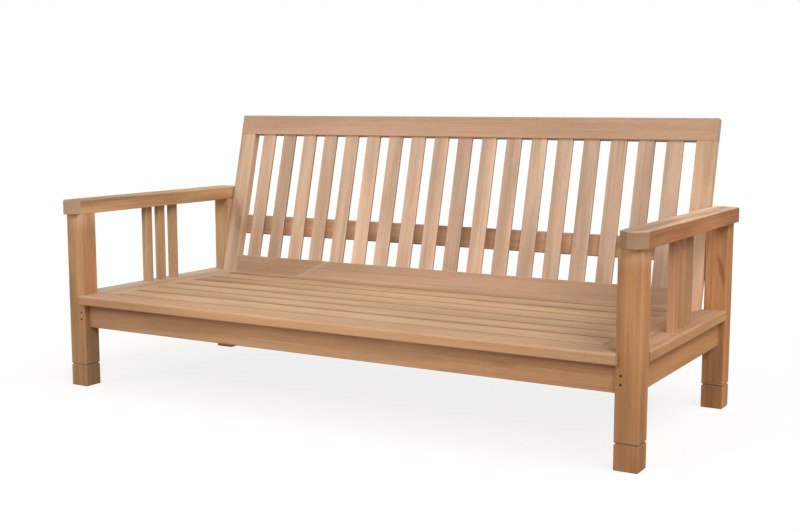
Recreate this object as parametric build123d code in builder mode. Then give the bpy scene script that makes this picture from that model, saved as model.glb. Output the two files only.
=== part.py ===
# Deep seating sofa: the bare hardwood frame of a two metre sofa for loose cushions.
#
# X runs along the sofa, Y from front to back and Z up from the floor, in millimetres. The origin is on the
# floor, in the middle of the sofa's length and depth. Pieces are modelled on the right-hand side, where X is
# positive, and mirrored to the left. Every joint is a real tenon in its mortise.

import os
from dataclasses import dataclass
from math import cos, radians, sin

from build123d import *

os.makedirs("parts", exist_ok=True)

# Legs
legs_overall_width = 2044.0
legs_overall_depth = 858.0
leg_width = 70.0
leg_depth = 65.0
leg_height = 595.0
leg_edge_round = 3.0
foot_height = 70.0
foot_chamfer = 2.0
groove_height = 8.0
groove_depth = 5.0
cut_overrun = 1.0

# Arms
arm_width = 80.0
arm_thickness = 48.0
arm_inset = 4.0
arm_front_overhang = 29.0
arm_rear_overhang = 4.0
arm_clip = 30.0
arm_top_round = 5.0
arm_under_round = 3.0
arm_slat_count = 3
arm_slat_width = 36.0
arm_slat_thickness = 20.0
arm_slat_pitch = 69.0

# Aprons and side rails
rail_height = 82.0
rail_thickness = 28.0
rail_recess = 20.0
rail_ease = 2.0

# Seat
seat_height = 319.0
seat_board_thickness = 32.0
seat_slat_thickness = 22.0
seat_slat_count = 7
seat_gap = 7.0
seat_rear_setback = 71.5
seat_front_overhang = 20.0
front_board_width = 96.0
front_board_ear = 7.0
front_board_round = 9.0
front_board_under_round = 5.0
side_board_proud = 3.0
side_board_gap = 2.0
side_board_round = 5.0
end_rail_width = 72.0
seat_slat_ease = 0.5
bearer_thickness = 28.0
bearer_depth = 60.0
bearer_count = 4

# Back
back_height = 921.0
back_foot_setback = 112.0
back_side_gap = 2.0
back_lean = 14.4
back_thickness = 34.0
stile_width = 65.0
top_rail_height = 75.0
lower_rail_height = 65.0
back_edge_round = 3.0
back_slat_count = 18
back_slat_width = 57.0
back_slat_thickness = 10.0
back_slat_end_gap = 42.2
back_slat_recess = 4.0
slat_ease = 1.5
bar_height = 72.0
bar_thickness = 22.0
bar_rise = 158.0

# Joinery: clearances, and the tenons' sizes
tenon_fit = 0.2
tenon_end_gap = 1.0
leg_fit = 1.0
leg_tenon_wall = 3.0
side_rail_tenon_length = 28.0
rail_tenon_height = 60.0
rail_tenon_thickness = 10.0
leg_tenon_width = 44.0
leg_tenon_depth = 36.0
leg_tenon_length = 26.0
board_tenon_width = 46.0
board_tenon_thickness = 12.0
board_tenon_length = 15.0
arm_slat_tenon_width = 28.0
arm_slat_tenon_thickness = 9.0
arm_slat_tenon_length = 12.0
tongue_shoulder = 8.0
tongue_thickness = 9.0
tongue_length = 12.0
bearer_tenon_height = 36.0
bearer_tenon_thickness = 14.0
bearer_tenon_length = 9.0
stile_tenon_width = 40.0
stile_tenon_thickness = 12.0
stile_tenon_length = 40.0
lower_tenon_width = 40.0
lower_tenon_length = 35.0
back_tenon_width = 49.0
back_tenon_thickness = 6.0
back_tenon_length = 12.0
bar_tenon_width = 50.0
bar_tenon_thickness = 12.0
bar_tenon_length = 26.0

# Pins and bolts
pin_diameter = 7.0
pin_length = 46.0
pin_setback = 16.0
pin_spacing = 24.0
pin_fit = 0.1
bolt_diameter = 8.0
bolt_head_diameter = 18.0
bolt_head_height = 4.0
bolt_bite = 24.0
bolt_fit = 0.2

# Places that follow from the sizes
lean = radians(back_lean)
back_rise = back_height - seat_height
back_length = (back_rise - back_edge_round * (1 - sin(lean))) / cos(lean) + back_edge_round
back_reach = (back_length - back_edge_round) * sin(lean) + (back_thickness - back_edge_round) * cos(lean)
back_foot = legs_overall_depth - back_foot_setback
overall_depth = arm_front_overhang + back_foot + back_reach + back_edge_round
y_front = arm_front_overhang - overall_depth / 2
y_rear = y_front + legs_overall_depth
x_out = legs_overall_width / 2
x_in = x_out - leg_width
leg_x = x_out - leg_width / 2
back_width = 2 * (x_in - back_side_gap)
front_leg_y = y_front + leg_depth / 2
rear_leg_y = y_rear - leg_depth / 2
side_middle_y = (y_front + y_rear) / 2
side_length = legs_overall_depth - 2 * leg_depth
rail_top = seat_height - seat_board_thickness
rail_z = rail_top - rail_height / 2
board_z = seat_height - seat_board_thickness / 2
slat_z = seat_height - seat_slat_thickness / 2
slat_under = seat_height - seat_slat_thickness


def facing_right(y, z):
    """A plane across the middle of the sofa for a section drawn in Y and Z."""
    return Plane(origin=(0, y, z), x_dir=(0, 1, 0), z_dir=(1, 0, 0))


def facing_back(x, y, z):
    """A plane for a section drawn in X and Z."""
    return Plane(origin=(x, y, z), x_dir=(1, 0, 0), z_dir=(0, 1, 0))


def eased_board(width, height, ease):
    """Draws a board's section with its four long edges eased."""
    section = Rectangle(width, height)
    chamfer(section.vertices(), length=ease)


@dataclass
class Tenon:
    """A square-shouldered tenon, and the mortise that takes it with a small clearance."""

    shoulder: Plane
    width: float
    thickness: float
    length: float

    def add(self):
        """Adds the tenon to the piece being built, standing out along the plane's normal."""
        with BuildSketch(self.shoulder) as section:
            Rectangle(self.width, self.thickness)
        extrude(section.sketch, amount=self.length)

    def cut(self):
        """Cuts the mortise in the piece being built, with room for glue at its end."""
        with BuildSketch(self.shoulder) as section:
            Rectangle(self.width + 2 * tenon_fit, self.thickness + 2 * tenon_fit)
        extrude(section.sketch, amount=self.length + tenon_end_gap, mode=Mode.SUBTRACT)


@dataclass
class Pin:
    """A wooden pin that locks a tenon, driven in along the plane's normal, and the hole bored for it."""

    face: Plane

    def add(self):
        with BuildSketch(self.face) as section:
            Circle(pin_diameter / 2)
        extrude(section.sketch, amount=pin_length)

    def bore(self):
        with BuildSketch(self.face) as section:
            Circle(pin_diameter / 2 + pin_fit)
        extrude(section.sketch, amount=pin_length + tenon_end_gap, mode=Mode.SUBTRACT)


def finish(builder, label):
    """Names a finished piece and writes its file."""
    builder.part.label = label
    export_step(builder.part, f"parts/{label}.step")


def finish_left(right, label):
    """Mirrors a right-hand piece to the left-hand side, names it and writes its file."""
    with BuildPart() as left:
        mirror(right.part, about=Plane.YZ)
    finish(left, label)


# The tenons of the aprons and side rails point along these planes' normals into the legs. An apron's tenon
# stops short of the side rail's, with a wall of the leg between them.
front_apron_y = y_front + rail_recess + rail_thickness / 2
rear_apron_y = y_rear - rail_recess - rail_thickness / 2
side_rail_x = x_out - rail_recess - rail_thickness / 2
apron_tenon_length = side_rail_x - rail_tenon_thickness / 2 - leg_tenon_wall - x_in


def apron_tenon(y):
    shoulder = Plane(origin=(x_in, y, rail_z), x_dir=(0, 0, 1), z_dir=(1, 0, 0))
    return Tenon(shoulder, rail_tenon_height, rail_tenon_thickness, apron_tenon_length)


def side_rail_tenon(y, direction):
    shoulder = Plane(origin=(side_rail_x, y, rail_z), x_dir=(0, 0, 1), z_dir=(0, direction, 0))
    return Tenon(shoulder, rail_tenon_height, rail_tenon_thickness, side_rail_tenon_length)


front_apron_tenon = apron_tenon(front_apron_y)
rear_apron_tenon = apron_tenon(rear_apron_y)
side_rail_front_tenon = side_rail_tenon(y_front + leg_depth, -1)
side_rail_rear_tenon = side_rail_tenon(y_rear - leg_depth, 1)

# Pins lock the aprons' tenons, from the legs' front and rear faces
pin_heights = (rail_z - pin_spacing / 2, rail_z + pin_spacing / 2)
pin_x = x_in + pin_setback
front_pins = [Pin(Plane(origin=(pin_x, y_front, z), z_dir=(0, 1, 0))) for z in pin_heights]
rear_pins = [Pin(Plane(origin=(pin_x, y_rear, z), z_dir=(0, -1, 0))) for z in pin_heights]

# The side boards of the seat have a stub tenon in each leg
side_board_width = leg_width + side_board_proud
side_board_x = x_in + side_board_width / 2


def side_board_tenon(y, direction):
    shoulder = Plane(origin=(leg_x, y, board_z), x_dir=(1, 0, 0), z_dir=(0, direction, 0))
    return Tenon(shoulder, board_tenon_width, board_tenon_thickness, board_tenon_length)


side_board_front_tenon = side_board_tenon(y_front + leg_depth, -1)
side_board_rear_tenon = side_board_tenon(y_rear - leg_depth, 1)


def leg_top_tenon(y):
    """The stub on top of a leg that holds the arm down."""
    return Tenon(Plane(origin=(leg_x, y, leg_height)), leg_tenon_width, leg_tenon_depth, leg_tenon_length)


front_leg_tenon = leg_top_tenon(front_leg_y)
rear_leg_tenon = leg_top_tenon(rear_leg_y)

# The back stands on the last seat slat and leans away from the seat. Its plane lies in its front face, with
# Y up the slope from the seat's surface and the normal towards the sitter.
up_slope = (0, sin(lean), cos(lean))
back_face = Plane(
    origin=(0, y_front + back_foot, seat_height),
    x_dir=(1, 0, 0),
    z_dir=(0, -cos(lean), sin(lean)),
)
back_middle = -back_thickness / 2


def on_back(x, y, z):
    """A point given across the back, up its slope and forward of its front face."""
    return back_face.from_local_coords((x, y, z))


def across_back(x, y, z):
    """A plane through such a point for a section of a rail."""
    return Plane(origin=on_back(x, y, z), x_dir=up_slope, z_dir=(1, 0, 0))


def up_back(x, y, z):
    """A plane through such a point for a section of an upright."""
    return Plane(origin=on_back(x, y, z), x_dir=(1, 0, 0), z_dir=up_slope)


stile_x = back_width / 2 - stile_width / 2
stile_top = back_length - top_rail_height
bar_y = bar_rise + bar_height / 2
bar_z = -back_thickness - bar_thickness / 2

stile_tenon = Tenon(
    up_back(stile_x, stile_top, back_middle),
    stile_tenon_width,
    stile_tenon_thickness,
    stile_tenon_length,
)
lower_rail_tenon = Tenon(
    across_back(back_width / 2 - stile_width, lower_rail_height / 2, back_middle),
    lower_tenon_width,
    stile_tenon_thickness,
    lower_tenon_length,
)
bar_tenon = Tenon(
    across_back(x_in, bar_y, bar_z),
    bar_tenon_width,
    bar_tenon_thickness,
    bar_tenon_length,
)
last_back_slat_x = back_width / 2 - stile_width - back_slat_end_gap - back_slat_width / 2
back_slat_pitch = 2 * last_back_slat_x / (back_slat_count - 1)
back_slat_xs = [i * back_slat_pitch - last_back_slat_x for i in range(back_slat_count)]
back_slat_z = -back_slat_recess - back_slat_thickness / 2


def back_slat_tenon(x, y, direction):
    """A back slat's tenon, up into the top rail or down into the lower rail."""
    along = (0, direction * sin(lean), direction * cos(lean))
    shoulder = Plane(origin=on_back(x, y, back_slat_z), x_dir=(1, 0, 0), z_dir=along)
    return Tenon(shoulder, back_tenon_width, back_tenon_thickness, back_tenon_length)


back_slat_tops = [back_slat_tenon(x, stile_top, 1) for x in back_slat_xs]
back_slat_feet = [back_slat_tenon(x, lower_rail_height, -1) for x in back_slat_xs]

# One bolt through the support bar into the middle of each stile
bolt_foot = on_back(stile_x, bar_y, bar_z - bar_thickness / 2)
bolt_seat = Plane(origin=bolt_foot, x_dir=(1, 0, 0), z_dir=(0, -cos(lean), sin(lean)))


def bore_for_bolt():
    """Bores the bolt's hole in the piece being built."""
    with BuildSketch(bolt_seat) as section:
        Circle(bolt_diameter / 2 + bolt_fit)
    extrude(section.sketch, amount=bar_thickness + bolt_bite + tenon_end_gap, mode=Mode.SUBTRACT)


# The seat's boards from front to back: the front board, then slats that share out the rest of the depth
front_board_rear = y_front - seat_front_overhang + front_board_width
seat_rear = y_rear - seat_rear_setback
end_rail_length = seat_rear - front_board_rear
seat_slat_pitch = end_rail_length / seat_slat_count
seat_slat_width = seat_slat_pitch - seat_gap
first_slat_y = front_board_rear + seat_gap + seat_slat_width / 2
seat_slat_ys = [first_slat_y + i * seat_slat_pitch for i in range(seat_slat_count)]
end_rail_outer = x_in - side_board_gap
end_rail_inner = end_rail_outer - end_rail_width
end_rail_x = (end_rail_outer + end_rail_inner) / 2

end_rail_tenon = Tenon(
    Plane(origin=(end_rail_x, front_board_rear, board_z), x_dir=(1, 0, 0), z_dir=(0, -1, 0)),
    board_tenon_width,
    board_tenon_thickness,
    board_tenon_length,
)
seat_tongues = [
    Tenon(
        Plane(origin=(end_rail_inner, y, slat_z), x_dir=(0, 1, 0), z_dir=(1, 0, 0)),
        seat_slat_width - 2 * tongue_shoulder,
        tongue_thickness,
        tongue_length,
    )
    for y in seat_slat_ys
]

# The bearers run between the aprons: one under each end rail, the rest evenly between them
bearer_front = front_apron_y + rail_thickness / 2
bearer_rear = rear_apron_y - rail_thickness / 2
bearer_xs = [end_rail_x * (2 * i / (bearer_count - 1) - 1) for i in range(bearer_count)]


def bearer_top(x):
    """An end bearer carries an end rail, the others carry the thinner slats."""
    return rail_top if abs(x) > end_rail_inner else slat_under


def bearer_tenon(x, y, direction):
    z = rail_top - bearer_depth / 2
    shoulder = Plane(origin=(x, y, z), x_dir=(0, 0, 1), z_dir=(0, direction, 0))
    return Tenon(shoulder, bearer_tenon_height, bearer_tenon_thickness, bearer_tenon_length)


bearer_front_tenons = [bearer_tenon(x, bearer_front, -1) for x in bearer_xs]
bearer_rear_tenons = [bearer_tenon(x, bearer_rear, 1) for x in bearer_xs]


def cut_groove(plane, face_offset, length):
    """Cuts the V-groove above the foot across two opposite faces, seen edge on in this plane."""
    for side in (-1, 1):
        with BuildSketch(plane) as section:
            with BuildLine():
                Polyline(
                    (side * (face_offset + cut_overrun), foot_height),
                    (side * face_offset, foot_height),
                    (side * (face_offset - groove_depth), foot_height + groove_height / 2),
                    (side * face_offset, foot_height + groove_height),
                    (side * (face_offset + cut_overrun), foot_height + groove_height),
                    close=True,
                )
            make_face()
        extrude(section.sketch, amount=length / 2, both=True, mode=Mode.SUBTRACT)


# Right-hand legs: foot block, V-groove, post and the stub for the arm, with mortises for what joins them
leg_joints = {
    "front": (
        front_leg_y,
        front_leg_tenon,
        (front_apron_tenon, side_rail_front_tenon, side_board_front_tenon),
        front_pins,
    ),
    "rear": (
        rear_leg_y,
        rear_leg_tenon,
        (rear_apron_tenon, side_rail_rear_tenon, side_board_rear_tenon, bar_tenon),
        rear_pins,
    ),
}
for row, (leg_y, top_tenon, mortises, pins) in leg_joints.items():
    with BuildPart() as leg:
        with BuildSketch(Plane(origin=(leg_x, leg_y, 0))):
            RectangleRounded(leg_width, leg_depth, leg_edge_round)
        extrude(amount=leg_height)
        chamfer(leg.faces().sort_by(Axis.Z)[0].edges(), length=foot_chamfer)
        seen_from_front = Plane(origin=(leg_x, leg_y, 0), x_dir=(1, 0, 0), z_dir=(0, -1, 0))
        seen_from_right = Plane(origin=(leg_x, leg_y, 0), x_dir=(0, 1, 0), z_dir=(1, 0, 0))
        cut_groove(seen_from_front, leg_width / 2, leg_depth)
        cut_groove(seen_from_right, leg_depth / 2, leg_width)
        top_tenon.add()
        for mortise in mortises:
            mortise.cut()
        for pin in pins:
            pin.bore()
    finish(leg, f"leg_{row}_right")
    finish_left(leg, f"leg_{row}_left")

# Right arm slats, between the side board and the arm
first_arm_slat_y = side_middle_y - arm_slat_pitch * (arm_slat_count - 1) / 2
arm_slat_ys = [first_arm_slat_y + i * arm_slat_pitch for i in range(arm_slat_count)]


def arm_slat_tenon(y, z, direction):
    shoulder = Plane(origin=(leg_x, y, z), x_dir=(0, 1, 0), z_dir=(0, 0, direction))
    return Tenon(shoulder, arm_slat_tenon_width, arm_slat_tenon_thickness, arm_slat_tenon_length)


arm_slat_tops = [arm_slat_tenon(y, leg_height, 1) for y in arm_slat_ys]
arm_slat_feet = [arm_slat_tenon(y, seat_height, -1) for y in arm_slat_ys]

for number, y in enumerate(arm_slat_ys, start=1):
    with BuildPart() as arm_slat:
        with BuildSketch(Plane(origin=(leg_x, y, seat_height))):
            eased_board(arm_slat_thickness, arm_slat_width, slat_ease)
        extrude(amount=leg_height - seat_height)
        arm_slat_tops[number - 1].add()
        arm_slat_feet[number - 1].add()
    finish(arm_slat, f"arm_slat_right_{number}")
    finish_left(arm_slat, f"arm_slat_left_{number}")

# Right arm: a level board with both front corners clipped
arm_inner = x_in + arm_inset
arm_outer = arm_inner + arm_width
arm_front = y_front - arm_front_overhang
arm_rear = y_rear + arm_rear_overhang
with BuildPart() as arm:
    with BuildSketch(Plane.XY.offset(leg_height)):
        with BuildLine():
            Polyline(
                (arm_inner, arm_rear),
                (arm_inner, arm_front + arm_clip),
                (arm_inner + arm_clip, arm_front),
                (arm_outer - arm_clip, arm_front),
                (arm_outer, arm_front + arm_clip),
                (arm_outer, arm_rear),
                close=True,
            )
        make_face()
    extrude(amount=arm_thickness)
    fillet(arm.faces().sort_by(Axis.Z)[-1].edges(), radius=arm_top_round)
    fillet(arm.faces().sort_by(Axis.Z)[0].edges(), radius=arm_under_round)
    front_leg_tenon.cut()
    rear_leg_tenon.cut()
    for mortise in arm_slat_tops:
        mortise.cut()
finish(arm, "arm_right")
finish_left(arm, "arm_left")

# Front and rear aprons: half of each is drawn and mirrored, with mortises for the bearers
right_bearers = [i for i, x in enumerate(bearer_xs) if x > 0]
for row, y, tenon, pins, bearer_mortises in (
    ("front", front_apron_y, front_apron_tenon, front_pins, bearer_front_tenons),
    ("rear", rear_apron_y, rear_apron_tenon, rear_pins, bearer_rear_tenons),
):
    with BuildPart() as apron:
        with BuildSketch(facing_right(y, rail_z)):
            eased_board(rail_thickness, rail_height, rail_ease)
        extrude(amount=x_in)
        tenon.add()
        for pin in pins:
            pin.bore()
        for i in right_bearers:
            bearer_mortises[i].cut()
        mirror(about=Plane.YZ)
    finish(apron, f"{row}_apron")

# Right side rail, from leg to leg under the side board
with BuildPart() as side_rail:
    with BuildSketch(facing_back(side_rail_x, y_front + leg_depth, rail_z)):
        eased_board(rail_thickness, rail_height, rail_ease)
    extrude(amount=side_length)
    side_rail_front_tenon.add()
    side_rail_rear_tenon.add()
finish(side_rail, "side_rail_right")
finish_left(side_rail, "side_rail_left")

# Right side board of the seat, on which the arm slats stand
with BuildPart() as side_board:
    with BuildSketch(facing_back(side_board_x, y_front + leg_depth, board_z)):
        Rectangle(side_board_width, seat_board_thickness)
    extrude(amount=side_length)
    long_edges = side_board.edges().filter_by(Axis.Y).group_by(Axis.X)
    fillet(long_edges[-1], radius=side_board_round)
    chamfer(long_edges[0].sort_by(Axis.Z)[-1], length=seat_slat_ease)
    side_board_front_tenon.add()
    side_board_rear_tenon.add()
    for mortise in arm_slat_feet:
        mortise.cut()
finish(side_board, "side_board_right")
finish_left(side_board, "side_board_left")

# Front board of the seat: a rounded front edge, and ears that lap a little over the front faces of the legs
ear_end = x_in + front_board_ear
with BuildPart() as front_board:
    with BuildSketch(Plane.XY.offset(rail_top)):
        with BuildLine():
            Polyline(
                (0, y_front - seat_front_overhang),
                (ear_end, y_front - seat_front_overhang),
                (ear_end, y_front),
                (x_in - leg_fit, y_front),
                (x_in - leg_fit, front_board_rear),
                (0, front_board_rear),
                close=True,
            )
        make_face()
    extrude(amount=seat_board_thickness)
    nose_edges = front_board.edges().filter_by(Axis.X).group_by(Axis.Y)[0].sort_by(Axis.Z)
    fillet(nose_edges[-1], radius=front_board_round)
    fillet(front_board.faces().sort_by(Axis.Z)[0].edges().sort_by(Axis.Y)[0], radius=front_board_under_round)
    end_rail_tenon.cut()
    mirror(about=Plane.YZ)
finish(front_board, "seat_front_board")

# Right end rail of the slatted seat, with a mortise for each slat's tongue
with BuildPart() as end_rail:
    with BuildSketch(facing_back(end_rail_x, front_board_rear, board_z)):
        Rectangle(end_rail_width, seat_board_thickness)
    extrude(amount=end_rail_length)
    chamfer(end_rail.edges().filter_by(Axis.Y).group_by(Axis.Z)[-1], length=seat_slat_ease)
    end_rail_tenon.add()
    for tongue in seat_tongues:
        tongue.cut()
finish(end_rail, "seat_end_rail_right")
finish_left(end_rail, "seat_end_rail_left")

# Seat slats, from end rail to end rail
for number, (y, tongue) in enumerate(zip(seat_slat_ys, seat_tongues), start=1):
    with BuildPart() as seat_slat:
        with BuildSketch(facing_right(y, slat_z)):
            eased_board(seat_slat_width, seat_slat_thickness, seat_slat_ease)
        extrude(amount=end_rail_inner)
        tongue.add()
        mirror(about=Plane.YZ)
    finish(seat_slat, f"seat_slat_{number}")

# Bearers, notched under the front board where they stand up to the thinner slats
for number, x in enumerate(bearer_xs, start=1):
    with BuildPart() as bearer:
        with BuildSketch(facing_back(x, bearer_front, bearer_top(x) - bearer_depth / 2)):
            Rectangle(bearer_thickness, bearer_depth)
        extrude(amount=bearer_rear - bearer_front)
        if bearer_top(x) > rail_top:
            with BuildSketch(Plane(origin=(x, bearer_front, rail_top))):
                Rectangle(bearer_thickness, 2 * (front_board_rear + seat_gap / 2 - bearer_front))
            extrude(amount=bearer_top(x) - rail_top, mode=Mode.SUBTRACT)
        bearer_front_tenons[number - 1].add()
        bearer_rear_tenons[number - 1].add()
    finish(bearer, f"seat_bearer_{number}")

# Right stile of the back, trimmed level where it stands on the seat
with BuildPart() as stile:
    with BuildSketch(up_back(stile_x, 0, back_middle)):
        RectangleRounded(stile_width, back_thickness, back_edge_round)
    extrude(amount=stile_top)
    split(bisect_by=Plane.XY.offset(seat_height), keep=Keep.TOP)
    stile_tenon.add()
    lower_rail_tenon.cut()
    bore_for_bolt()
finish(stile, "back_stile_right")
finish_left(stile, "back_stile_left")

# Top rail, across the tops of the stiles, with its mortises underneath
with BuildPart() as top_rail:
    with BuildSketch(across_back(0, stile_top + top_rail_height / 2, back_middle)):
        RectangleRounded(top_rail_height, back_thickness, back_edge_round)
    extrude(amount=back_width / 2)
    stile_tenon.cut()
    for mortise in back_slat_tops[back_slat_count // 2 :]:
        mortise.cut()
    mirror(about=Plane.YZ)
finish(top_rail, "back_top_rail")

# Lower rail, between the stiles, trimmed level where it stands on the last seat slat
with BuildPart() as lower_rail:
    with BuildSketch(across_back(0, lower_rail_height / 2, back_middle)):
        Rectangle(lower_rail_height, back_thickness)
    extrude(amount=back_width / 2 - stile_width)
    chamfer(lower_rail.faces().sort_by(Axis.Z)[-1].edges().filter_by(Axis.X), length=slat_ease)
    split(bisect_by=Plane.XY.offset(seat_height), keep=Keep.TOP)
    lower_rail_tenon.add()
    for mortise in back_slat_feet[back_slat_count // 2 :]:
        mortise.cut()
    mirror(about=Plane.YZ)
finish(lower_rail, "back_lower_rail")

# Back slats, between the two rails and set in a little from their faces
for number, x in enumerate(back_slat_xs, start=1):
    with BuildPart() as back_slat:
        with BuildSketch(up_back(x, lower_rail_height, back_slat_z)):
            eased_board(back_slat_width, back_slat_thickness, slat_ease)
        extrude(amount=stile_top - lower_rail_height)
        back_slat_tops[number - 1].add()
        back_slat_feet[number - 1].add()
    finish(back_slat, f"back_slat_{number:02d}")

# Support bar behind the back, from rear leg to rear leg, lying flat against the stiles
with BuildPart() as bar:
    with BuildSketch(across_back(0, bar_y, bar_z)):
        eased_board(bar_height, bar_thickness, rail_ease)
    extrude(amount=x_in)
    bar_tenon.add()
    bore_for_bolt()
    mirror(about=Plane.YZ)
finish(bar, "back_support_bar")

# Pins and bolts, each kind as one group
with BuildPart() as apron_pins:
    for pin in front_pins + rear_pins:
        pin.add()
    mirror(about=Plane.YZ)
finish(apron_pins, "apron_pins")

with BuildPart() as back_bolts:
    with BuildSketch(bolt_seat):
        Circle(bolt_diameter / 2)
    extrude(amount=bar_thickness + bolt_bite)
    with BuildSketch(bolt_seat):
        Circle(bolt_head_diameter / 2)
    extrude(amount=-bolt_head_height)
    mirror(about=Plane.YZ)
finish(back_bolts, "back_bolts")
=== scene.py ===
"""Looks of the deep seating sofa: a bare, sanded teak frame on a pale floor, in soft light."""

import math

import bmesh
import bpy
from mathutils import Euler, Matrix, Vector


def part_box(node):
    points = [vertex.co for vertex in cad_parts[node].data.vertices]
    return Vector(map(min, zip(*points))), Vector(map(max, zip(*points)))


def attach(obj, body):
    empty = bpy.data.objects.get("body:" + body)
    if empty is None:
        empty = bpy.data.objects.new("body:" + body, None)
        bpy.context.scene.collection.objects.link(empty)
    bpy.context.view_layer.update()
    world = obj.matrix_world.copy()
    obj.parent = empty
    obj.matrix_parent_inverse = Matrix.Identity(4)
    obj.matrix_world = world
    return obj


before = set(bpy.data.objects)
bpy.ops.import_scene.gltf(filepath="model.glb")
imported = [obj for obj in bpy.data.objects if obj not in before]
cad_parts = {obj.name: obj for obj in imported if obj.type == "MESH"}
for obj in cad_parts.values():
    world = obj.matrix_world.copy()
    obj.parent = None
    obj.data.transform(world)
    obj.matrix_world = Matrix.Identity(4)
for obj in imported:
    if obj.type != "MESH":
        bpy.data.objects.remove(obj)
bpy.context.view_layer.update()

# Sizes that the pieces' boxes don't give, in metres, most of them because the back leans
back_lean = math.radians(14.4)
stile_width = 0.065
back_thickness = 0.034
top_rail_height = 0.075
lower_rail_height = 0.065
back_edge_round = 0.003
back_slat_width = 0.057
back_slat_thickness = 0.010
bar_height = 0.072
bar_thickness = 0.022
foot_height = 0.070

# The part of a back slat between the two rails, from how high the back rises
back_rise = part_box("back_top_rail")[1].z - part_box("back_lower_rail")[0].z
rise_below_round = back_rise - back_edge_round * (1 - math.sin(back_lean))
back_length = rise_below_round / math.cos(back_lean) + back_edge_round
slat_in_sight = back_length - top_rail_height - lower_rail_height

# Directions in the sofa
across = Vector((1, 0, 0))
rearward = Vector((0, 1, 0))
upward = Vector((0, 0, 1))
up_the_back = Vector((0, math.sin(back_lean), math.cos(back_lean)))

# Light: the room's own, then each lamp's power, turn to the right, height and softness in degrees
room_light = 0.40
lamps = (
    ("high_right_lamp", 1.41, 85, 62, 36),
    ("front_right_lamp", 1.22, 42, 37, 26),
    ("low_left_lamp", 0.85, -20, 22, 26),
)
white = (1.0, 1.0, 1.0, 1.0)
floor_half_width = 40.0
floor_glow = 1.34
floor_share_shown = 0.62

# The photograph's viewpoint, with the angles in radians
camera_place = (2.03873, -3.41655, 0.96206)
camera_looks_down = 0.13252
camera_turns_left = 0.53101
camera_lens = 54.336
camera_film_width = 36.0

# Screws under the seat
screw_head_radius = 0.0045
screw_neck_radius = 0.0028
screw_head_rise = 0.0024
screw_sides = 16
inner_bearers = (2, 3)
slats_per_end_rail_screw = 3


def srgb(red, green, blue):
    """A colour written as it looks on a screen, 0 to 255, as the linear values of a socket."""
    shares = [value / 255 for value in (red, green, blue)]
    linear = [s / 12.92 if s <= 0.04045 else ((s + 0.055) / 1.055) ** 2.4 for s in shares]
    return (*linear, 1.0)


def tinted(colour, red, green=None, blue=None):
    """The colour with its channels multiplied, all alike where only one number is given."""
    green = red if green is None else green
    blue = red if blue is None else blue
    return (*[min(value * share, 1.0) for value, share in zip(colour, (red, green, blue))], 1.0)


# Teak as each part of the sofa shows it, and the tones that boards of one batch come in
frame_wood = srgb(181, 130, 85)
arm_wood = srgb(181, 129, 89)
seat_wood = srgb(188, 142, 104)
# The back's wood is paler, partly in tone and partly as a painted sheen
back_wood_and_sheen = srgb(203, 172, 147)
rail_wood = srgb(198, 159, 129)
# The support bar's wood is painted paler, as painted light in the shade behind the slats
bar_wood_lightened = srgb(198, 156, 124)
palest, paler, pale, plain = 1.22, 1.17, 1.09, 1.0
mellow, deep, darker, dark = 0.95, 0.88, 0.84, 0.78

# The rest of the colours
pin_brown = (srgb(36, 20, 12), srgb(72, 44, 26))
steel_grey = (srgb(150, 148, 144), srgb(188, 187, 183))
floor_grey = srgb(176, 174, 170)

# What the figure of the wood does to a board's colour, as factors for red, green and blue
late_wood_tint = (0.66, 0.56, 0.48)
pale_streak_tint = (1.25, 1.32, 1.40)
pink_blush_tint = (1.03, 0.95, 0.92)
olive_blush_tint = (0.97, 1.00, 0.95)
pore_tint = (0.40, 0.31, 0.25)
knot_tint = (0.30, 0.20, 0.15)
stain_tint = (0.62, 0.50, 0.42)
patch_tint = (0.80, 0.68, 0.60)
patch_border_tint = (1.18, 1.22, 1.22)

# Wear, painted light and shade, and a darkening: how much of each shows, and how far it reaches in
# metres
# Sanded wear on the arrises, with a painted highlight
arris_wear_and_highlight_tint = (1.50, 1.55, 1.60)
arris_wear_and_highlight_share = 0.22
# Painted shade beside the seat's gaps
gap_shade_tint = (0.55, 0.47, 0.38)
front_gap_reach = 0.022
rear_gap_reach = 0.030
# Painted shadow of the top rail on the back slats
joint_tint = (0.50, 0.42, 0.34)
joint_share = 0.55
joint_reach = 0.010
# Painted shadow of a board above
eaves_shade_tint = (0.64, 0.46, 0.32)
eaves_share = 0.38
eaves_reach = 0.040
# Painted shade towards a board's ends
end_shade_tint = (0.52, 0.46, 0.40)
left_shade_fades = (-0.85, -0.10)
right_shade_grows = (0.10, 0.90)
# Darker low on a leg
low_darkening_tint = (0.62, 0.58, 0.56)
low_darkening_share = 0.12
low_darkening_top = 0.55
foot_darkening_share = 0.14
foot_darkening_fade = 0.006
band_darkening_fade = (0.25, 0.37)
# Painted light just under an arm
under_arm_light_tint = (1.32, 1.50, 1.75)
under_arm_light_reach = 0.060

# Matt wood takes only a faint gloss
wood_gloss = 0.12


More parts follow.
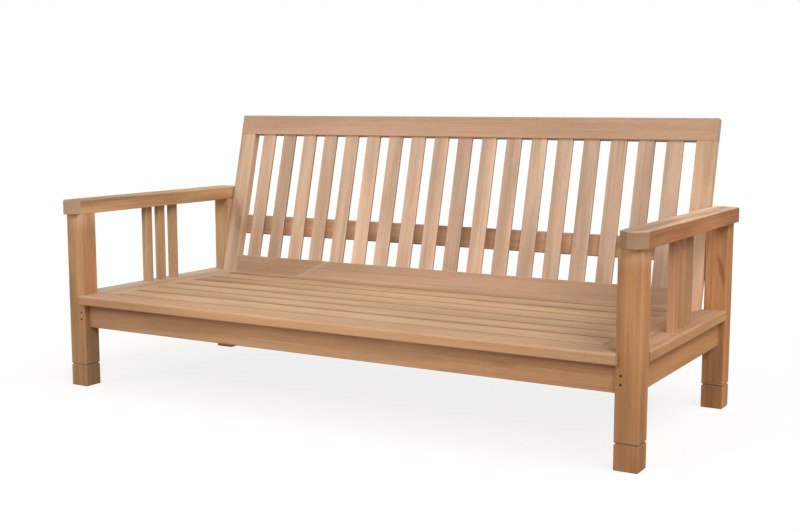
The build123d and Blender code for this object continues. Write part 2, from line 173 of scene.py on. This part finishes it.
class Wiring:
    """Adds nodes to a node tree and joins them up."""

    def __init__(self, tree):
        self.tree = tree

    def add(self, kind, settings=None, **inputs):
        """A node with these settings, and with its inputs linked or set."""
        node = self.tree.nodes.new(kind)
        for key, value in (settings or {}).items():
            setattr(node, key, value)
        for key, value in inputs.items():
            self.feed(node, key.replace("_", " "), value)
        return node

    def feed(self, node, socket, value):
        """Links a value's socket, or sets the input, given by its name or place."""
        socket = node.inputs[socket]
        if isinstance(value, bpy.types.NodeSocket):
            self.tree.links.new(value, socket)
        else:
            socket.default_value = value

    def math(self, operation, *values, clamp=False):
        node = self.add("ShaderNodeMath", {"operation": operation, "use_clamp": clamp})
        for place, value in enumerate(values):
            self.feed(node, place, value)
        return node.outputs[0]

    def vector(self, operation, first, second=None, output=0):
        node = self.add("ShaderNodeVectorMath", {"operation": operation})
        self.feed(node, 0, first)
        if second is not None:
            self.feed(node, 1, second)
        return node.outputs[output]

    def parts(self, vector):
        return self.add("ShaderNodeSeparateXYZ", Vector=vector).outputs

    def noise(self, vector, stretch, detail=2.0, roughness=0.5):
        """Noise with this many lumps to the metre in each direction."""
        scaled = self.vector("MULTIPLY", vector, stretch)
        node = self.add("ShaderNodeTexNoise", Vector=scaled, Scale=1.0, Detail=detail,
                        Roughness=roughness)
        return node.outputs["Fac"]

    def spread(self, value, low, high, to_low=0.0, to_high=1.0, smooth=True):
        """The value's range from low to high, mapped to another range and held at its ends."""
        node = self.add("ShaderNodeMapRange",
                        {"interpolation_type": "SMOOTHSTEP" if smooth else "LINEAR"})
        for place, item in enumerate((value, low, high, to_low, to_high)):
            self.feed(node, place, item)
        return node.outputs[0]

    def mix(self, share, first, second):
        """The first colour moved by this share towards the second."""
        node = self.add("ShaderNodeMix", {"data_type": "RGBA"})
        self.feed(node, "Factor", share)
        colours = [place for place, socket in enumerate(node.inputs) if socket.type == "RGBA"]
        for place, value in zip(colours, (first, second)):
            self.feed(node, place, value)
        return next(socket for socket in node.outputs if socket.type == "RGBA")

    def tint(self, share, colour, factors):
        """The colour moved by this share towards itself times three factors."""
        return self.mix(share, colour, self.vector("MULTIPLY", colour, factors))


def new_group(name, inputs, outputs):
    """A shader node group with these sockets; gives its tree, wiring, inputs and output node."""
    tree = bpy.data.node_groups.new(name, "ShaderNodeTree")
    for socket, (kind, value) in inputs.items():
        item = tree.interface.new_socket(socket, in_out="INPUT", socket_type="NodeSocket" + kind)
        if value is not None:
            item.default_value = value
    for socket in outputs:
        tree.interface.new_socket(socket, in_out="OUTPUT", socket_type="NodeSocketFloat")
    w = Wiring(tree)
    entry = w.add("NodeGroupInput")
    leave = w.add("NodeGroupOutput")
    return tree, w, entry.outputs, leave


def teak_grain_group():
    """Growth rings, streaks, pores, drift and a knot of a sawn teak board, x along the grain."""
    tree, w, given, leave = new_group(
        "teak grain",
        {
            "Board": ("Vector", None),
            "Shift": ("Vector", (0.0, 0.0, 0.0)),
            "Heart Side": ("Float", 0.0),
            "Heart Depth": ("Float", 0.08),
            "Slope": ("Float", 0.01),
            "Ring Width": ("Float", 0.006),
            "Knot": ("Vector", (0.0, 0.0, 0.0)),
            "Knot Size": ("Float", 0.004),
        },
        ("Rings", "Streaks", "Pores", "Clouds", "Blush", "Fibres", "Knots", "Height"),
    )
    board = given["Board"]
    place = w.vector("ADD", board, given["Shift"])
    along, side, depth = w.parts(board)

    # The knot is drawn out along the grain, and the rings bend round it
    from_knot = w.vector("SUBTRACT", board, given["Knot"])
    knot_distance = w.vector("LENGTH", w.vector("MULTIPLY", from_knot, (0.5, 1.0, 1.0)), output=1)
    in_sizes = w.math("DIVIDE", knot_distance, given["Knot Size"])
    fall_off = w.math("MULTIPLY", w.math("POWER", in_sizes, 2.0), -0.10)
    near_knot = w.math("EXPONENT", fall_off)
    core = w.spread(in_sizes, 0.6, 1.15, 1.0, 0.0)
    aside = w.math("MULTIPLY", w.parts(from_knot)[1], w.math("MULTIPLY", near_knot, 0.8))

    # Rings lie round the heart of the log, a little bent, and each darkens towards its late wood
    bend = w.noise(place, (0.8, 4.0, 4.0), detail=1.5)
    ripple = w.noise(place, (6.0, 45.0, 45.0), detail=2.0)
    side_from_heart = w.math("SUBTRACT", w.math("SUBTRACT", side, given["Heart Side"]),
                             w.math("MULTIPLY", along, given["Slope"]))
    side_from_heart = w.math("SUBTRACT", side_from_heart, aside)
    depth_from_heart = w.math("ADD", depth, given["Heart Depth"])
    radius = w.math("SQRT", w.math("ADD", w.math("POWER", side_from_heart, 2.0),
                                   w.math("POWER", depth_from_heart, 2.0)))
    bent = w.math("MULTIPLY_ADD", bend, 0.07, radius)
    even_count = w.math("DIVIDE", bent, given["Ring Width"])
    season = w.add("ShaderNodeTexNoise", {"noise_dimensions": "1D"}, Scale=1.0, Detail=1.0,
                   W=w.math("MULTIPLY", even_count, 0.45)).outputs["Fac"]
    count = w.math("MULTIPLY_ADD", season, 3.0, even_count)
    count = w.math("MULTIPLY_ADD", ripple, 0.8, count)
    within = w.math("FRACT", count)
    chance = w.add("ShaderNodeTexWhiteNoise", {"noise_dimensions": "1D"},
                   W=w.math("FLOOR", count)).outputs["Value"]
    strength = w.math("MULTIPLY_ADD", w.math("POWER", chance, 2.2), 0.85, 0.15)
    rise = w.math("POWER", within, 2.2)
    fall = w.spread(within, 0.86, 1.0, 1.0, 0.0)
    shown = w.spread(w.noise(place, (1.3, 16.0, 16.0), detail=1.0), 0.34, 0.62, 0.2, 1.0)
    rings = w.math("MULTIPLY", w.math("MULTIPLY", rise, fall),
                   w.math("MULTIPLY", strength, shown))

    streaks = w.noise(place, (1.6, 110.0, 110.0), detail=3.0, roughness=0.62)
    clouds = w.noise(place, (1.3, 13.0, 13.0), detail=3.0, roughness=0.55)
    blush = w.noise(place, (9.0, 26.0, 26.0), detail=2.0)
    fibres = w.noise(place, (22.0, 620.0, 620.0), detail=2.0)

    # Pores are short dashes, most of them in the early wood of a ring
    cells = w.add("ShaderNodeTexVoronoi", {"feature": "F1"}, Scale=1.0,
                  Vector=w.vector("MULTIPLY", place, (55.0, 700.0, 700.0)))
    pore = w.spread(cells.outputs["Distance"], 0.16, 0.30, 1.0, 0.0)
    pores = w.math("MULTIPLY", pore, w.math("SUBTRACT", 1.0, w.math("MULTIPLY", within, 0.75)))

    height = w.math("MULTIPLY_ADD", rings, 0.5, w.math("MULTIPLY", streaks, 0.4))
    height = w.math("MULTIPLY_ADD", fibres, 0.35, height)
    height = w.math("SUBTRACT", height, w.math("MULTIPLY", pores, 0.8))

    for socket, value in (("Rings", rings), ("Streaks", streaks), ("Pores", pores),
                          ("Clouds", clouds), ("Blush", blush), ("Fibres", fibres),
                          ("Knots", core), ("Height", height)):
        w.feed(leave, socket, value)
    return tree


def arris_group():
    """How near a point is to a board's long edges, broken up as hand sanding leaves them."""
    tree, w, given, leave = new_group(
        "sanded arris",
        {
            "Board": ("Vector", None),
            "Half Width": ("Float", 0.03),
            "Half Thickness": ("Float", 0.01),
            "Reach": ("Float", 0.006),
        },
        ("Edge",),
    )
    side, depth = w.parts(given["Board"])[1:]
    from_side = w.math("SUBTRACT", given["Half Width"], w.math("ABSOLUTE", side))
    from_face = w.math("SUBTRACT", given["Half Thickness"], w.math("ABSOLUTE", depth))
    away = w.math("MAXIMUM", from_side, from_face)
    uneven = w.noise(given["Board"], (14.0, 60.0, 60.0), detail=2.0)
    reach = w.math("MULTIPLY", given["Reach"], w.math("MULTIPLY_ADD", uneven, 1.2, 0.4))
    near = w.math("SUBTRACT", 1.0, w.math("DIVIDE", away, reach), clamp=True)
    w.feed(leave, "Edge", near)
    return tree


teak_grain = teak_grain_group()
sanded_arris = arris_group()


class Look:
    """How one board looks. Places are from its middle: along it, to its side and out of its face."""

    # The log it was sawn from: how far its heart lay to the side and below, and its rings
    heart = (0.0, 0.08)
    slope = 0.01
    ring_width = 0.006

    # How strongly the parts of the figure show
    rings = 0.6
    streaks = 0.42
    drift = 0.24

    # A knot, too far off to show unless a board has one, and the settings of a patch and a stain
    knot = (9.0, 9.0, 9.0)
    knot_size = 0.004
    patch = None
    stain = None

    # Tints: painted sheen on faces looking up, painted light and shade on both narrow sides, the
    # sawn ends
    faded = None
    side_tone = None
    end_tone = (0.90, 1.06, 1.35)

    # Painted shade: its share beside the seat's gaps, the place along the board where a rail starts,
    # the height of a board over it, and its shares at both ends, times the last on faces that look
    # up
    edge_shade = 0.0
    joint = None
    eaves = None
    end_shade = None
    top_shade = 1.0

    # Darker low on a leg: foot top height, share of a band above it; arm height with painted light
    # under it
    foot_top = None
    band_darkening = 0.0
    under_arm_light_top = None

    def __init__(self, **own):
        for key, value in own.items():
            if not hasattr(Look, key):
                raise AttributeError(f"a board's look has no {key}")
            setattr(self, key, value)


def new_material(name):
    """A material; gives it with its Principled shader and its wiring."""
    material = bpy.data.materials.new(name)
    material.use_nodes = True
    tree = material.node_tree
    return material, tree.nodes["Principled BSDF"], Wiring(tree)


def feed_bump(w, shader, height, strength, distance):
    """Roughens the surface by this height, whose full range is this distance in metres."""
    bump = w.add("ShaderNodeBump", Height=height, Strength=strength, Distance=distance)
    w.feed(shader, "Normal", bump.outputs[0])


def turn_of(length, width):
    """The turn that brings a board's own x (length) and y (width) to these directions."""
    normal = length.cross(width)
    return Matrix((length, width, normal)).transposed().to_euler()


def facing(w, normal, direction):
    """How squarely a face looks along a direction or away from it, 0 to 1."""
    return w.math("ABSOLUTE", w.vector("DOT_PRODUCT", normal, direction, output=1))


def looking_up(w, normal):
    """One on faces that look at the sky, nought on upright ones."""
    return w.spread(w.parts(normal)[2], 0.35, 0.85)


def board_material(name, colour, length, width, centre, half_width, half_thickness, shift, look):
    """Sanded, unfinished teak for one board, with its figure running along its length."""
    material, shader, w = new_material(name)
    place = w.add("ShaderNodeTexCoord").outputs
    normal = place["Normal"]
    board = w.add("ShaderNodeMapping", {"vector_type": "TEXTURE"}, Vector=place["Object"],
                  Location=centre, Rotation=turn_of(length, width)).outputs[0]
    grain = w.add("ShaderNodeGroup", {"node_tree": teak_grain}, Board=board, Shift=shift,
                  Heart_Side=look.heart[0], Heart_Depth=look.heart[1], Slope=look.slope,
                  Ring_Width=look.ring_width, Knot=look.knot, Knot_Size=look.knot_size).outputs

    wood = sawn_wood(w, board, grain, colour, look)
    end = w.spread(facing(w, normal, length), 0.35, 0.65)
    end_wood = sawn_end(w, grain, colour, look.end_tone)
    wood = w.mix(w.math("MULTIPLY", end, 0.85), wood, end_wood)
    if look.edge_shade:
        wood = beside_gaps(w, board, wood, half_width, look.edge_shade)
    else:
        # Sanded wear with a painted highlight along the arrises
        edge = w.add("ShaderNodeGroup", {"node_tree": sanded_arris}, Board=board,
                     Half_Width=half_width, Half_Thickness=half_thickness).outputs["Edge"]
        wood = w.tint(w.math("MULTIPLY", edge, arris_wear_and_highlight_share), wood, arris_wear_and_highlight_tint)
    wood = under_others(w, board, place, wood, look)
    # A painted sheen on the faces that look up
    if look.faded:
        wood = w.tint(looking_up(w, normal), wood, look.faded)
    # Painted light and shade on the narrow sides, lighter or darker by piece; on the back slats only
    # darker
    if look.side_tone:
        narrow_side = w.spread(facing(w, normal, width), 0.80, 0.95)
        wood = w.tint(narrow_side, wood, look.side_tone)
    if look.foot_top:
        wood = darkened_low(w, w.parts(place["Object"])[2], wood, look)
    w.feed(shader, "Base Color", wood)

    rough = w.math("MULTIPLY_ADD", grain["Streaks"], 0.16, 0.60)
    rough = w.math("MULTIPLY_ADD", end, 0.10, rough)
    rough = w.math("MULTIPLY_ADD", grain["Rings"], -0.06, rough)
    w.feed(shader, "Roughness", rough)
    w.feed(shader, "Specular IOR Level", wood_gloss)
    feed_bump(w, shader, grain["Height"], strength=0.45, distance=0.0006)
    return material


def sawn_wood(w, board, grain, colour, look):
    """The figure on a board's faces: clouds, blotches and marks, then rings, streaks and pores."""
    late_wood = tinted(colour, *late_wood_tint)
    wood = w.mix(w.spread(grain["Clouds"], 0.30, 0.70), tinted(colour, 1 - look.drift),
                 tinted(colour, 1 + look.drift))
    wood = w.tint(w.spread(grain["Blush"], 0.50, 0.66), wood, pink_blush_tint)
    wood = w.tint(w.spread(grain["Blush"], 0.34, 0.50, 1.0, 0.0), wood, olive_blush_tint)
    if look.patch:
        wood = heartwood_patch(w, board, wood, colour, **look.patch)
    if look.stain:
        wood = long_stain(w, board, wood, **look.stain)
    wood = w.mix(w.math("MULTIPLY", grain["Rings"], look.rings), wood, late_wood)
    wood = w.mix(w.spread(grain["Streaks"], 0.56, 0.74, 0.0, look.streaks), wood, late_wood)
    wood = w.mix(w.spread(grain["Streaks"], 0.28, 0.44, look.streaks, 0.0), wood,
                 tinted(colour, *pale_streak_tint))
    wood = w.mix(w.spread(grain["Fibres"], 0.35, 0.65, 0.16, 0.0), wood, late_wood)
    wood = w.mix(w.math("MULTIPLY", grain["Pores"], 0.40), wood, tinted(colour, *pore_tint))
    return w.mix(w.math("MULTIPLY", grain["Knots"], 0.85), wood, tinted(colour, *knot_tint))


def sawn_end(w, grain, colour, end_tone):
    """The end grain: pores and rings on a tone of its own."""
    end_wood = w.mix(w.math("MULTIPLY", grain["Pores"], 0.5), tinted(colour, *end_tone),
                     tinted(colour, *pore_tint))
    return w.mix(w.math("MULTIPLY", grain["Rings"], 0.5), end_wood,
                 tinted(colour, *late_wood_tint))


def heartwood_patch(w, board, wood, colour, start, stop, slant):
    """A darker, redder stretch of a board that ends along a slanting pale line."""
    along, side = w.parts(board)[:2]
    wander = w.noise(board, (6.0, 30.0, 30.0), detail=2.0)
    line = w.math("MULTIPLY_ADD", side, slant, w.math("MULTIPLY_ADD", wander, 0.05, along))
    inside = w.math("MULTIPLY", w.spread(line, start, start + 0.12),
                    w.spread(line, stop, stop + 0.012, 1.0, 0.0))
    border = w.math("MULTIPLY", w.spread(line, stop - 0.004, stop + 0.010),
                    w.spread(line, stop + 0.012, stop + 0.04, 1.0, 0.0))
    wood = w.mix(w.math("MULTIPLY", inside, 0.55), wood, tinted(colour, *patch_tint))
    return w.mix(w.math("MULTIPLY", border, 0.45), wood, tinted(colour, *patch_border_tint))


def long_stain(w, board, wood, centre, half_length, half_width, lean, share):
    """A long, darker figure with wavering edges, as beside a branch that grew over."""
    along, side = w.parts(w.vector("SUBTRACT", board, centre))[:2]
    side = w.math("MULTIPLY_ADD", along, lean, side)
    wander = w.math("SUBTRACT", w.noise(board, (18.0, 90.0, 90.0), detail=2.0), 0.5)
    side = w.math("MULTIPLY_ADD", wander, half_width * 1.4, side)
    reach = w.math("SQRT", w.math("ADD", w.math("POWER", w.math("DIVIDE", along, half_length), 2.0),
                                  w.math("POWER", w.math("DIVIDE", side, half_width), 2.0)))
    return w.tint(w.spread(reach, 0.45, 1.1, share, 0.0), wood, stain_tint)


def beside_gaps(w, board, wood, half_width, share):
    """Uneven painted shade along both long edges, deepest at the rear, as beside the seat's gaps."""
    side = w.parts(board)[1]
    uneven = w.spread(w.noise(board, (3.0, 0.0, 0.0)), 0.35, 0.65, 0.5, 1.3)
    front = w.spread(side, -half_width, front_gap_reach - half_width, share * 0.6, 0.0)
    rear = w.spread(side, half_width - rear_gap_reach, half_width, 0.0, share)
    return w.tint(w.math("MULTIPLY", w.math("ADD", front, rear), uneven), wood, gap_shade_tint)


def under_others(w, board, place, wood, look):
    """The painted shade that a board's neighbours leave on it: a rail over it, a board above, both
    ends.
    """
    along = w.parts(board)[0]
    # Painted shadow of a rail over the board
    if look.joint:
        under_rail = w.spread(along, look.joint - joint_reach, look.joint, 0.0, joint_share)
        wood = w.tint(under_rail, wood, joint_tint)
    # Painted shadow of the board above
    if look.eaves:
        height = w.parts(place["Object"])[2]
        under_board = w.spread(height, look.eaves - eaves_reach, look.eaves, 0.0, eaves_share)
        wood = w.tint(under_board, wood, eaves_shade_tint)
    # Painted shade towards both ends of the board
    if look.end_shade:
        left_share, right_share = look.end_shade
        shade = w.math("ADD", w.spread(along, *left_shade_fades, left_share, 0.0),
                       w.spread(along, *right_shade_grows, 0.0, right_share))
        if look.top_shade < 1:
            up = looking_up(w, place["Normal"])
            shade = w.math("MULTIPLY", shade, w.math("MULTIPLY_ADD", up, look.top_shade - 1, 1.0))
        wood = w.tint(shade, wood, end_shade_tint)
    return wood


def darkened_low(w, height, wood, look):
    """Darker towards the bottom of a leg, deepest on the foot, and painted light just under an arm.
    """
    on_leg = w.spread(height, 0.0, low_darkening_top, low_darkening_share, 0.0)
    on_foot = w.spread(height, look.foot_top, look.foot_top + foot_darkening_fade, foot_darkening_share,
                       0.0)
    darker_band = w.spread(height, *band_darkening_fade, look.band_darkening, 0.0)
    darkening = w.math("ADD", w.math("ADD", on_leg, on_foot), darker_band)
    wood = w.tint(darkening, wood, low_darkening_tint)
    # Painted light just under an arm, lifting the arm's shadow
    if look.under_arm_light_top:
        under_arm = w.spread(height, look.under_arm_light_top - under_arm_light_reach, look.under_arm_light_top,
                             smooth=False)
        wood = w.tint(under_arm, wood, under_arm_light_tint)
    return wood


def dress(name, material):
    """Gives a CAD piece its material, in its own slot."""
    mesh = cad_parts[name].data
    mesh.materials.clear()
    mesh.materials.append(material)


board_number = 0


def dress_board(name, colour, length, width, half_width=None, half_thickness=None, **look):
    """A board's material, with its figure taken from its own place in the log."""
    global board_number
    board_number += 1
    low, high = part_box(name)
    half = (high - low) / 2
    if half_width is None:
        half_width = abs(half.dot(width))
        half_thickness = abs(half.dot(length.cross(width)))
    shift = (board_number * 3.17, board_number * 0.83, board_number * 0.57)
    dress(name, board_material("teak_" + name, colour, length, width, (low + high) / 2,
                               half_width, half_thickness, shift, Look(**look)))


def dress_legs():
    look = dict(slope=0.012, ring_width=0.0035, rings=0.7, drift=0.32, foot_top=foot_height)
    front = dict(band_darkening=0.20, under_arm_light_top=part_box("arm_left")[0].z, **look)
    grown_over_branch = dict(centre=(0.137, 0.017, 0.0), half_length=0.062, half_width=0.010,
                             lean=0.22, share=0.85)
    # The left legs are paler than the right, partly in tone and partly as painted light on their
    # inner faces
    dress_board("leg_front_left", tinted(frame_wood, 1.01, 1.14, 1.36), upward, across,
                heart=(0.03, 0.16), **front)
    dress_board("leg_front_right", tinted(frame_wood, 0.97, 0.99, 1.07), upward, across,
                heart=(-0.02, 0.13), side_tone=(1.08, 1.05, 1.02), **front)
    dress_board("leg_rear_left", tinted(frame_wood, 1.04, 1.28, 1.66), upward, across,
                heart=(0.03, 0.16), **look)
    dress_board("leg_rear_right", tinted(frame_wood, 1.03, 1.03, 1.13), upward, across,
                heart=(0.01, 0.06), stain=grown_over_branch, side_tone=(1.13, 1.05, 0.98), **look)


def dress_arms():
    look = dict(heart=(0.02, 0.09), slope=0.03, streaks=0.8, rings=0.9)
    # The left arm and its slats are painted paler than the right, as painted light on their inner
    # faces
    dress_board("arm_left", tinted(arm_wood, 1.07, 1.33, 1.58), rearward, across, drift=0.46,
                faded=(0.95, 1.04, 1.30), end_tone=(0.86, 0.95, 1.12), **look)
    dress_board("arm_right", tinted(arm_wood, 0.83, 0.76, 0.70), rearward, across, drift=0.50,
                faded=(1.60, 2.45, 3.95), end_tone=(1.04, 1.50, 2.15), **look)
    for side, wood in (("left", tinted(arm_wood, 0.98, 1.30, 1.66)),
                       ("right", tinted(arm_wood, 1.14, 1.23, 1.34))):
        for number, tone in enumerate((pale, plain, mellow), start=1):
            # Painted light and shade on the slats' front and rear faces
            side_tone = (0.92, 0.98, 1.10) if number == 1 else (1.18, 1.28, 1.25)
            dress_board(f"arm_slat_{side}_{number}", tinted(wood, tone), upward, rearward,
                        heart=(0.0, 0.06), slope=0.02, ring_width=0.005, side_tone=side_tone)


def dress_rails():
    soft_blotch = dict(centre=(0.62, 0.002, 0.0), half_length=0.045, half_width=0.012,
                       lean=0.0, share=0.35)
    apron = dict(heart=(-0.02, 0.05), slope=0.012, ring_width=0.008)
    # The apron takes painted shadow under the front board and painted shade towards both ends
    dress_board("front_apron", tinted(frame_wood, 1.33, 1.55, 2.07), across, upward,
                knot=(-0.38, -0.014, -0.014), knot_size=0.006, stain=soft_blotch,
                eaves=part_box("front_apron")[1].z, end_shade=(0.56, 0.60), **apron)
    dress_board("rear_apron", frame_wood, across, upward, **apron)
    side_board_top = {"left": (0.86, 1.28, 2.25), "right": (0.88, 1.00, 1.30)}
    for side in ("left", "right"):
        dress_board(f"side_rail_{side}", tinted(frame_wood, 1.05), rearward, upward,
                    heart=(0.01, 0.07), slope=0.02)
        dress_board(f"side_board_{side}", tinted(seat_wood, 1.00, 0.98, 0.84), rearward, across,
                    heart=(0.0, 0.09), slope=0.02, faded=side_board_top[side])
    for number in range(1, 5):
        dress_board(f"seat_bearer_{number}", tinted(frame_wood, 0.95), rearward, upward)


def dress_seat():
    # The front board's front face is painted lighter than its top, with painted shade towards both
    # ends
    dress_board("seat_front_board", tinted(seat_wood, 1.28, 1.38, 1.50), across, rearward,
                heart=(0.04, 0.06), slope=0.006, ring_width=0.009, drift=0.08,
                faded=(0.83, 0.905, 1.01), end_shade=(0.66, 0.42), top_shade=0.35)
    # The right end rail takes less painted sheen, as painted shade from the right arm
    for side, faded in (("left", (0.91, 1.16, 1.42)), ("right", (0.92, 1.06, 1.16))):
        dress_board(f"seat_end_rail_{side}", seat_wood, rearward, across, slope=0.02,
                    faded=faded)
    dark_line = dict(centre=(-0.66, -0.024, 0.0), half_length=0.28, half_width=0.007,
                     lean=0.0, share=0.6)

    # Each slat's tone and its shares of shade at the left and right ends, from the front
    slats = (
        (palest, (0.46, 0.26)),
        (plain, (0.0, 0.25)),
        (plain, (0.06, 0.24)),
        (pale, (0.30, 0.24)),
        (paler, (0.76, 0.38)),
        (mellow, (0.0, 0.26)),
        (darker, (0.30, 0.26)),
    )
    for number, (tone, end_shade) in enumerate(slats, start=1):
        dress_board(f"seat_slat_{number}", tinted(seat_wood, tone), across, rearward,
                    heart=(0.03 if number % 2 else -0.035, 0.07), slope=0.008, ring_width=0.007,
                    streaks=0.6, drift=0.16, stain=dark_line if number == 5 else None,
                    faded=(1.06, 1.30, 1.56), side_tone=(0.70, 0.65, 0.62), edge_shade=0.42,
                    end_shade=end_shade)


def dress_back():
    half_thickness = back_thickness / 2
    dress_board("back_top_rail", tinted(rail_wood, 0.95, 0.97, 1.02), across, up_the_back,
                half_width=top_rail_height / 2, half_thickness=half_thickness,
                heart=(-0.05, 0.08), slope=0.008, drift=0.12, streaks=0.34)
    dress_board("back_lower_rail", tinted(rail_wood, 0.87, 0.92, 0.95), across, up_the_back,
                half_width=lower_rail_height / 2, half_thickness=half_thickness,
                heart=(0.02, 0.03), slope=0.02, ring_width=0.010, drift=0.12,
                patch=dict(start=-0.77, stop=-0.51, slant=-1.8), end_shade=(0.0, 0.40))
    # A darker slanting patch on the left stile at the arm's level
    at_arm_level = dict(centre=(-0.075, 0.004, 0.0), half_length=0.075, half_width=0.024,
                        lean=0.25, share=0.55)
    for side, wood, stain in (("left", tinted(back_wood_and_sheen, 0.93, 0.93, 0.89), at_arm_level),
                              ("right", tinted(back_wood_and_sheen, 1.05, 1.00, 0.92), None)):
        dress_board(f"back_stile_{side}", wood, up_the_back, across, half_width=stile_width / 2,
                    half_thickness=half_thickness, heart=(0.04, 0.10), slope=0.02, stain=stain,
                    side_tone=(1.14, 1.08, 1.06))
    dress_board("back_support_bar", bar_wood_lightened, across, up_the_back, half_width=bar_height / 2,
                half_thickness=bar_thickness / 2, drift=0.38)

    # The slats' tones from left to right
    tones = (pale, dark, plain, plain, plain, pale, plain, plain, plain,
             deep, pale, plain, plain, plain, deep, dark, deep, deep)
    for number, tone in enumerate(tones, start=1):
        own_knot = dict(knot=(0.16, 0.008, 0.003), knot_size=0.003) if number == 11 else {}
        dress_board(f"back_slat_{number:02d}", tinted(back_wood_and_sheen, tone), up_the_back, across,
                    half_width=back_slat_width / 2, half_thickness=back_slat_thickness / 2,
                    heart=(0.045 if number % 3 else -0.02, 0.05), slope=0.015,
                    joint=slat_in_sight / 2, side_tone=(0.62, 0.56, 0.52), **own_knot)


def pin_end_grain():
    """Dark end grain of the pins, where the grain drinks in dirt."""
    material, shader, w = new_material("pin_end_grain")
    place = w.add("ShaderNodeTexCoord").outputs["Object"]
    speck = w.noise(place, (700.0, 700.0, 700.0), detail=3.0)
    w.feed(shader, "Base Color", w.mix(speck, *pin_brown))
    w.feed(shader, "Roughness", w.math("MULTIPLY_ADD", speck, 0.2, 0.6))
    w.feed(shader, "Specular IOR Level", wood_gloss)
    feed_bump(w, shader, speck, strength=0.4, distance=0.0004)
    return material


def brushed_steel():
    """Satin steel of the bolts and screws, with a few stains."""
    material, shader, w = new_material("satin_steel")
    place = w.add("ShaderNodeTexCoord").outputs["Object"]
    brushed = w.noise(place, (260.0, 2600.0, 260.0), detail=2.0)
    stain = w.noise(place, (180.0, 180.0, 180.0), detail=3.0)
    w.feed(shader, "Base Color", w.mix(stain, *steel_grey))
    w.feed(shader, "Metallic", 1.0)
    w.feed(shader, "Roughness", w.math("MULTIPLY_ADD", brushed, 0.2, 0.28))
    feed_bump(w, shader, brushed, strength=0.3, distance=0.0002)
    return material


def put_in_scene(name, data):
    """A new object that shows this mesh, lamp or camera."""
    thing = bpy.data.objects.new(name, data)
    bpy.context.scene.collection.objects.link(thing)
    return thing


def mesh_of(name, shape, material):
    """The bmesh as a finished mesh with this material."""
    mesh = bpy.data.meshes.new(name)
    shape.to_mesh(mesh)
    shape.free()
    mesh.materials.append(material)
    return mesh


def drive_the_seat_screws(steel):
    """Pan heads under the bearers, one for each seat slat and three along each end rail."""
    slat_centres = []
    for number in range(1, 8):
        low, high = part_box(f"seat_slat_{number}")
        slat_centres.append((low.y + high.y) / 2)
    places = []
    for number in range(1, 5):
        low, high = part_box(f"seat_bearer_{number}")
        rows = slat_centres if number in inner_bearers else slat_centres[::slats_per_end_rail_screw]
        places += [Vector(((low.x + high.x) / 2, y, low.z)) for y in rows]
    shape = bmesh.new()
    upside_down = Matrix.Rotation(math.pi, 4, "X")
    for place in places:
        middle = place - upward * screw_head_rise / 2
        bmesh.ops.create_cone(shape, cap_ends=True, segments=screw_sides,
                              radius1=screw_head_radius, radius2=screw_neck_radius,
                              depth=screw_head_rise,
                              matrix=Matrix.Translation(middle) @ upside_down)
    bmesh.ops.recalc_face_normals(shape, faces=shape.faces)
    screws = put_in_scene("seat_screws", mesh_of("seat_screws", shape, steel))
    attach(screws, "root")


def shown_to_camera(w):
    """One for what the camera sees, straight or in a reflection, and nought for other light."""
    seen = w.add("ShaderNodeLightPath").outputs
    mirrored = w.math("MAXIMUM", seen["Is Glossy Ray"], seen["Is Transmission Ray"])
    return w.math("MAXIMUM", seen["Is Camera Ray"], mirrored)


def light_the_room():
    """A white backdrop that lights the sofa softly, and three soft lamps."""
    world = bpy.data.worlds.new("white_room")
    bpy.context.scene.world = world
    world.use_nodes = True
    world.node_tree.nodes.clear()
    w = Wiring(world.node_tree)
    strength = w.spread(shown_to_camera(w), 0.0, 1.0, room_light, 1.0, smooth=False)
    backdrop = w.add("ShaderNodeBackground", Color=white, Strength=strength)
    w.add("ShaderNodeOutputWorld", Surface=backdrop.outputs[0])
    for name, power, turn, height, softness in lamps:
        light = bpy.data.lights.new(name, "SUN")
        light.energy = power
        light.angle = math.radians(softness)
        lamp = put_in_scene(name, light)
        lamp.rotation_euler = Euler((math.radians(90 - height), 0, math.radians(turn)))


def lay_the_floor():
    """A pale floor that looks nearly white and still shows the sofa's shadow."""
    material = bpy.data.materials.new("pale_floor")
    material.use_nodes = True
    material.node_tree.nodes.clear()
    w = Wiring(material.node_tree)
    matt = w.add("ShaderNodeBsdfDiffuse", Color=floor_grey)
    bright = w.add("ShaderNodeEmission", Color=white, Strength=floor_glow)
    blend = w.add("ShaderNodeMixShader")
    w.feed(blend, 0, w.math("MULTIPLY", shown_to_camera(w), floor_share_shown))
    w.feed(blend, 1, matt.outputs[0])
    w.feed(blend, 2, bright.outputs[0])
    w.add("ShaderNodeOutputMaterial", Surface=blend.outputs[0])
    shape = bmesh.new()
    bmesh.ops.create_grid(shape, x_segments=1, y_segments=1, size=floor_half_width)
    floor = put_in_scene("floor", mesh_of("floor", shape, material))


def set_the_camera():
    camera = bpy.data.cameras.new("photo_camera")
    camera.sensor_width = camera_film_width
    camera.lens = camera_lens
    camera.clip_end = 200.0
    view = put_in_scene("photo_camera", camera)
    view.location = camera_place
    view.rotation_euler = Euler((math.pi / 2 - camera_looks_down, 0.0, camera_turns_left))
    bpy.context.scene.camera = view


bpy.context.scene.view_settings.view_transform = "Standard"
steel = brushed_steel()
dress_legs()
dress_arms()
dress_rails()
dress_seat()
dress_back()
dress("apron_pins", pin_end_grain())
dress("back_bolts", steel)
drive_the_seat_screws(steel)
lay_the_floor()
light_the_room()
set_the_camera()
